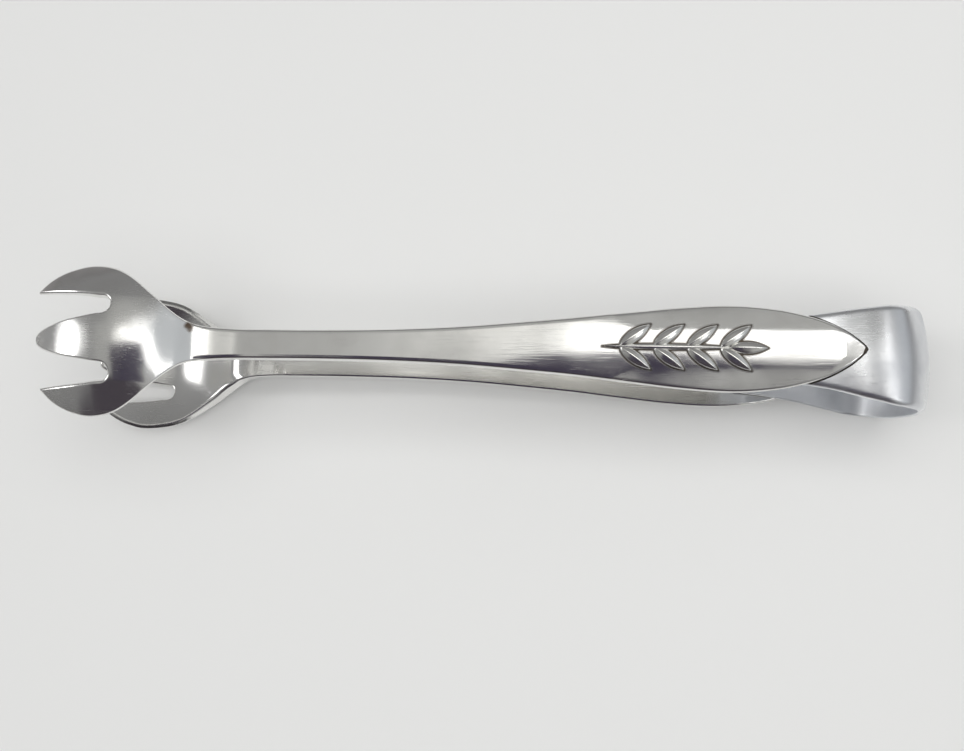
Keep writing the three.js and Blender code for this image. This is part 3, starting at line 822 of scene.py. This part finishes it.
def blade_shell(foot, turn, length, half_width, relief, midrib):
    """A closed low dome on the leaf, in the plan of one blade."""
    profile = blade_profile(BLADE_ROWS)
    across = np.sin(np.linspace(-math.pi / 2, math.pi / 2, BLADE_COLUMNS))
    a = np.repeat(profile[1:-1, 0] * length, BLADE_COLUMNS)
    edge = np.repeat(profile[1:-1, 1] * half_width, BLADE_COLUMNS)
    v = np.tile(across, BLADE_ROWS - 2)
    swell = np.sqrt(np.clip(edge / half_width, 0, 1))
    dome = relief * swell * np.sqrt(np.clip(1 - v ** 2, 0, 1)) ** DOME_FULLNESS
    dome += midrib * swell * np.exp(-(v / MIDRIB_WIDTH) ** 2)
    b = edge * v
    ends_a = np.array([profile[0, 0], profile[-1, 0]]) * length
    a, b, dome = np.append(a, ends_a), np.append(b, [0, 0]), np.append(dome, [0, 0])
    c, s = math.cos(turn), math.sin(turn)
    x, y = foot + a * c - b * s, a * s + b * c
    face = arm_outer(x, y)
    top = np.stack([x, y, face + dome], 1)
    low = np.stack([x, y, face - SPRIG_SUNK], 1)
    rows, n = BLADE_ROWS - 2, BLADE_COLUMNS
    count = len(x)
    faces = []
    for r in range(rows - 1):
        for k in range(n - 1):
            q = [r * n + k, (r + 1) * n + k, (r + 1) * n + k + 1, r * n + k + 1]
            faces.append(q)
            faces.append([i + count for i in q[::-1]])
        faces.append([r * n, r * n + count, (r + 1) * n + count, (r + 1) * n])
        k = n - 1
        faces.append([r * n + k, (r + 1) * n + k, (r + 1) * n + k + count, r * n + k + count])
    first, last = rows * n, rows * n + 1
    for k in range(n - 1):
        faces.append([first, k, k + 1])
        faces.append([first + count, k + 1 + count, k + count])
        e = (rows - 1) * n + k
        faces.append([last, e + 1, e])
        faces.append([last + count, e + count, e + 1 + count])
    e = (rows - 1) * n
    faces += [[first, first + count, count, 0], [first, n - 1, n - 1 + count, first + count],
              [last, e, e + count, last + count], [last, last + count, e + n - 1 + count, e + n - 1]]
    return np.vstack([top, low]), faces


ornament_silver = silver("ornament_silver", bright=(0.88, 0.875, 0.85), dull=(0.80, 0.79, 0.76), shine=0.16,
                         haze=0.10, grain_depth=0.0000008, wave_depth=0.000003)
sprig_points, sprig_faces = [], []
for shell in [(*blade, SPRIG_RELIEF, MIDRIB) for blade in blades] + [(*stem, STEM_RELIEF, 0)]:
    points, faces = blade_shell(*shell)
    start = sum(map(len, sprig_points))
    sprig_faces += [[i + start for i in f] for f in faces]
    sprig_points.append(points)
sprig_points = np.vstack(sprig_points)
for name, body in (("upper_sprig", "upper_arm"), ("lower_sprig", "lower_arm")):
    points = set_lower(other_side(sprig_points)) if body == "lower_arm" else sprig_points
    sprig = make_piece(name, points, sprig_faces, None, ornament_silver)
    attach(sprig, body)
    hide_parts(body.replace("arm", "ornament"))

# The solder: a thin film of silver solder between each leaf and the bow's leg. It shows as a
# narrow line round the leaf's pointed tip, which has blackened in its corner. The film's near-black
# colour is partly that tarnish and partly painted shade, standing in for the shadow in the gap
# between leaf and bow.
# How far the film reaches past each leaf's edge, which sets how wide the painted shade line shows: further
# on the upper arm, and SOLDER_FAR widens it on one side
SOLDER_FILLET = {"upper_arm": 0.20, "lower_arm": 0.10}
SOLDER_INSET = 0.12
SOLDER_FAR = 0.07
SOLDER_WIDE = 0.1
SOLDER_START = 0.1
SOLDER_BODY_END = 1.0
SOLDER_STEPS = 60
SOLDER_TIP = 0.95
SOLDER_TIP_STEPS = 16
SOLDER_END = 0.02
SOLDER_TOP = 0.015
SOLDER_RISE = 0.08
SOLDER_LIP = 0.012
SOLDER_DEEP = 0.05


def solder_rows(fillet):
    """Cross-sections of the solder film, which swells out of the joint as a small fillet."""
    body = np.linspace(BOW_END + SOLDER_START, LEAF_TIP - SOLDER_BODY_END, SOLDER_STEPS)
    tip = np.linspace(LEAF_TIP - SOLDER_TIP, LEAF_TIP + fillet, SOLDER_TIP_STEPS)
    places = np.concatenate([body, tip])
    leaf_edge = np.where(places < LEAF_TIP, flowing(WIDTH_ROWS, np.minimum(places, LEAF_TIP)), 0.0)
    strip_edge = np.interp(places, upper_leg[:, 0], upper_leg[:, 1])
    reach = leaf_edge + fillet * np.sqrt(1 + np.gradient(leaf_edge, places) ** 2)
    reach[-1] = SOLDER_END
    foot_edge = np.minimum(reach, strip_edge - SOLDER_INSET)
    top_edge = np.minimum(np.maximum(leaf_edge, SOLDER_TOP), foot_edge)
    rows = []
    for x, half_width, foot, top in zip(places, strip_edge, foot_edge, top_edge):
        crown, twist = bow_lean(x, BOW_END_HEIGHT)
        low = lambda y: bow_height(x) - crown * (y / half_width) ** 2 - twist * y
        rise = SOLDER_GAP + (SOLDER_RISE if x < LEAF_TIP else 0)
        far = min(foot + SOLDER_FAR, half_width - SOLDER_INSET) if foot > SOLDER_WIDE else foot
        rows.append([(x, y, low(y) + h) for y, h in (
            (-foot, SOLDER_LIP), (-top, rise), (0, rise), (top, rise), (far, SOLDER_LIP),
            (far, -SOLDER_DEEP), (-foot, -SOLDER_DEEP))])
    return np.array(rows)


# Near black: partly tarnish, partly painted shade of the gap between leaf and bow
solder_tarnish_and_painted_shade = silver("solder_tarnish_and_painted_shade", bright=TARNISH, dull=(0.05, 0.045, 0.04), shine=0.45,
                       haze=0.1, grain_depth=0.000001, wave_depth=0.0)
for name, body in (("upper_solder", "upper_arm"), ("lower_solder", "lower_arm")):
    rows = solder_rows(SOLDER_FILLET[body])
    count, loop = rows.shape[:2]
    ends = [tuple(range(loop)), tuple(range((count - 1) * loop, count * loop))[::-1]]
    points = rows.reshape(-1, 3)
    if body == "lower_arm":
        points = set_lower(other_side(points))
    solder = make_piece(name, points, tube_faces(count, loop) + ends, None, solder_tarnish_and_painted_shade)
    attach(solder, body)

# The floor: a plain pale table top, painted and a little matt, that isn't part of the tongs. Away
# from the tongs the metal sees it greyer, as a table in a dim room, and seen from low down it
# fades into the backdrop.
TABLE_SIZE = 6.0
TABLE_DROP = 0.00002
TABLE = (0.86, 0.86, 0.85)
TABLE_DIM = (0.26, 0.25, 0.25)
TABLE_DIM_SPAN = (0.10, 0.22)
TABLE_ROUGH = 0.7
TABLE_SHEEN = 0.2
BACKDROP = (0.86, 0.86, 0.85)
BACKDROP_SPAN = (0.12, 0.50)

bpy.ops.mesh.primitive_plane_add(size=TABLE_SIZE, location=(0, 0, -TABLE_DROP))
floor = bpy.context.object
floor.name = "table_top"
paper = bpy.data.materials.new("table_paper")
paper.use_nodes = True
tree = paper.node_tree
shader = tree.nodes["Principled BSDF"]
shader.inputs["Roughness"].default_value = TABLE_ROUGH
shader.inputs["Specular IOR Level"].default_value = TABLE_SHEEN
place = add(tree, "ShaderNodeTexCoord").outputs["Object"]
away = add(tree, "ShaderNodeVectorMath", {0: place}, operation="LENGTH").outputs["Value"]
ray = add(tree, "ShaderNodeLightPath").outputs
mirrored = calc(tree, "MULTIPLY", span(tree, away, *TABLE_DIM_SPAN), ray["Is Glossy Ray"])
tree.links.new(blend_colours(tree, mirrored, TABLE, TABLE_DIM), shader.inputs["Base Color"])
distant = calc(tree, "MULTIPLY", span(tree, away, *BACKDROP_SPAN), ray["Is Camera Ray"])
paler = add(tree, "ShaderNodeEmission", {"Color": (*BACKDROP, 1)}).outputs[0]
seen = add(tree, "ShaderNodeMixShader", {0: distant, 1: shader.outputs[0], 2: paler})
tree.links.new(seen.outputs[0], tree.nodes["Material Output"].inputs["Surface"])
floor.data.materials.append(paper)

# The light: a soft panel overhead, in a pale room with a soft window at each end. The room is
# darker on the near side, so that the polish has something to show.
PANEL_PLACE = (0.0975, 0.0505, 0.30)
PANEL_SIZE = (0.155, 0.091)
PANEL_LEVEL = 1.6
PANEL_TINT = (1.0, 0.995, 0.97)
FILL_PLACE = (0.0, 0.0, 0.7)
FILL_SIZE = (0.6, 0.6)
FILL_LEVEL = 2.2
FILL_TINT = (1.0, 1.0, 1.0)


def soft_lamp(name, place, size, level, tint):
    """A flat lamp that faces down: level is how bright it looks."""
    lamp = bpy.data.lights.new(name, "AREA")
    lamp.shape = "RECTANGLE"
    lamp.size, lamp.size_y = size
    lamp.energy = level * math.pi * size[0] * size[1]
    lamp.color = tint
    holder = bpy.data.objects.new(name, lamp)
    bpy.context.scene.collection.objects.link(holder)
    holder.location = place
    return holder


soft_lamp("panel_over", PANEL_PLACE, PANEL_SIZE, PANEL_LEVEL, PANEL_TINT)
# This one lights the table alone: polished silver would only mirror it
fill = soft_lamp("table_fill", FILL_PLACE, FILL_SIZE, FILL_LEVEL, FILL_TINT)
fill.visible_glossy = False


def studio_card(name, outline, height):
    """A flat card that only reflections show."""
    mesh = bpy.data.meshes.new(name)
    mesh.from_pydata([(x, y, height) for x, y in outline], [], [tuple(range(len(outline)))])
    card = bpy.data.objects.new(name, mesh)
    bpy.context.scene.collection.objects.link(card)
    card.visible_camera = card.visible_shadow = card.visible_diffuse = False
    surface = bpy.data.materials.new(name)
    surface.use_nodes = True
    mesh.materials.append(surface)
    return surface.node_tree


def make_glow(tree, colour, level=1.0):
    """A card shines by itself, in the colour of another node's output or in one with its alpha."""
    lit = add(tree, "ShaderNodeEmission", {"Color": colour, "Strength": level})
    tree.links.new(lit.outputs[0], tree.nodes["Material Output"].inputs["Surface"])


# The panel's light fades out along the ceiling at its left end
CEILING = (0.42, 0.42, 0.41)
GLOW = (0.98, 0.975, 0.94)
GLOW_CARD_END = -0.09
GLOW_END = -0.062
GLOW_FAR_FADE = 0.04
left, near = PANEL_PLACE[0] - PANEL_SIZE[0] / 2, PANEL_PLACE[1] - PANEL_SIZE[1] / 2
far = PANEL_PLACE[1] + PANEL_SIZE[1] / 2
outline = [(GLOW_CARD_END, near), (left, near), (left, far), (GLOW_CARD_END, far)]
tree = studio_card("panel_glow", outline, PANEL_PLACE[2])
place = add(tree, "ShaderNodeTexCoord").outputs["Object"]
parts = add(tree, "ShaderNodeSeparateXYZ", {0: place}).outputs
fade = calc(tree, "MULTIPLY", span(tree, parts["X"], GLOW_END, left),
            span(tree, parts["Y"], far, far - GLOW_FAR_FADE))
make_glow(tree, blend_colours(tree, fade, CEILING, GLOW))

# The right window is a slanting strip, dimmer at its far end
RIGHT_WINDOW = ((0.185, 0.095), (0.225, 0.095), (0.375, -0.13), (0.22, -0.13))
RIGHT_WINDOW_LEVEL = 2.2
WINDOW_END = ((0.09, 0.097), (0.225, 0.097), (0.24, 0.155), (0.09, 0.15))
WINDOW_END_LEVEL = 1.3
DAYLIGHT = (1, 1, 1, 1)
make_glow(studio_card("right_window", RIGHT_WINDOW, PANEL_PLACE[2]), DAYLIGHT, RIGHT_WINDOW_LEVEL)
make_glow(studio_card("window_end", WINDOW_END, PANEL_PLACE[2]), DAYLIGHT, WINDOW_END_LEVEL)

# A dark felt card lies flat over the near side
DARK_CARD = ((-0.045, -0.14), (0.054, -0.14), (0.058, -0.068), (0.079, -0.052), (0.079, -0.02),
             (0.066, 0.0105), (0.0, 0.0105), (-0.014, -0.003), (-0.045, -0.005))
DARK_CARD_HEIGHT = 0.172
FELT = (0.075, 0.065, 0.10)
tree = studio_card("dark_card", DARK_CARD, DARK_CARD_HEIGHT)
felt = tree.nodes["Principled BSDF"].inputs
felt["Base Color"].default_value = (*FELT, 1)
felt["Roughness"].default_value = 1.0
felt["Specular IOR Level"].default_value = 0.0

# The room itself, by direction from the tongs: over the ceiling's tone come walls, dark corners and a
# small window at the left. Each row is a tint, and the spans of direction in which it sets in.
FAR_LEFT = (0.26, 0.26, 0.26)
FAR_WALL = (0.25, 0.25, 0.25)
LEFT_WALL = (0.27, 0.27, 0.27)
LOW_WALLS = (0.22, 0.22, 0.22)
NEAR_DARK = (0.06, 0.052, 0.062)
RIGHT_WALL = (0.52, 0.54, 0.56)
LEFT_WINDOW = (5.0, 5.0, 5.0)
ROOM = ((FAR_LEFT, ("Y", 0.30, 0.46), ("X", -0.10, -0.30)),
        (FAR_WALL, ("Y", 0.30, 0.50), ("Z", 0.74, 0.58)),
        (LEFT_WALL, ("X", -0.30, -0.55)),
        (LOW_WALLS, ("Z", 0.50, 0.20)),
        (NEAR_DARK, ("Y", -0.45, -0.62), ("X", 0.36, 0.26), ("X", -0.66, -0.48)),
        (RIGHT_WALL, ("X", 0.52, 0.78), ("Z", 0.08, 0.28)),
        (LEFT_WINDOW, ("X", -0.75, -0.83), ("Y", -0.20, -0.08), ("Y", 0.36, 0.24), ("Z", 0.22, 0.44)))

world = bpy.data.worlds.new("pale_room")
bpy.context.scene.world = world
world.use_nodes = True
room = world.node_tree
direction = add(room, "ShaderNodeTexCoord").outputs["Generated"]
ways = add(room, "ShaderNodeSeparateXYZ", {0: direction}).outputs
light = CEILING
for tint, *edges in ROOM:
    mask = 1.0
    for way, outside, inside in edges:
        mask = calc(room, "MULTIPLY", mask, span(room, ways[way], outside, inside))
    light = blend_colours(room, mask, light, tint)
camera_ray = add(room, "ShaderNodeLightPath").outputs["Is Camera Ray"]
light = blend_colours(room, camera_ray, light, BACKDROP)
room.links.new(light, room.nodes["Background"].inputs["Color"])

# The camera: it stands almost straight above the tongs, a little towards their near side. Its lean
# is set against the tongs' own frame, so the tilt at which they lie turns it too.
CAMERA_PLACE = (0.010745, -0.018357, 0.169007)
CAMERA_LEAN = (math.radians(-5.834), math.radians(-1.357), math.radians(-0.749))
CAMERA_LENS = 47.86
CAMERA_SENSOR = 36.0
NEAREST_SEEN = 0.01
leant = (Matrix.Rotation(CAMERA_LEAN[2], 3, "Z") @ Matrix.Rotation(CAMERA_LEAN[0], 3, "X")
         @ Matrix.Rotation(CAMERA_LEAN[1], 3, "Y"))
lens = bpy.data.cameras.new("camera")
lens.lens = CAMERA_LENS
lens.sensor_width = CAMERA_SENSOR
lens.clip_start = NEAREST_SEEN
camera = bpy.data.objects.new("camera", lens)
bpy.context.scene.collection.objects.link(camera)
camera.matrix_world = (Matrix.Rotation(LAY_TILT, 3, "Y") @ leant.transposed()).to_4x4()
camera.location = CAMERA_PLACE
bpy.context.scene.camera = camera
bpy.context.scene.view_settings.view_transform = "Standard"
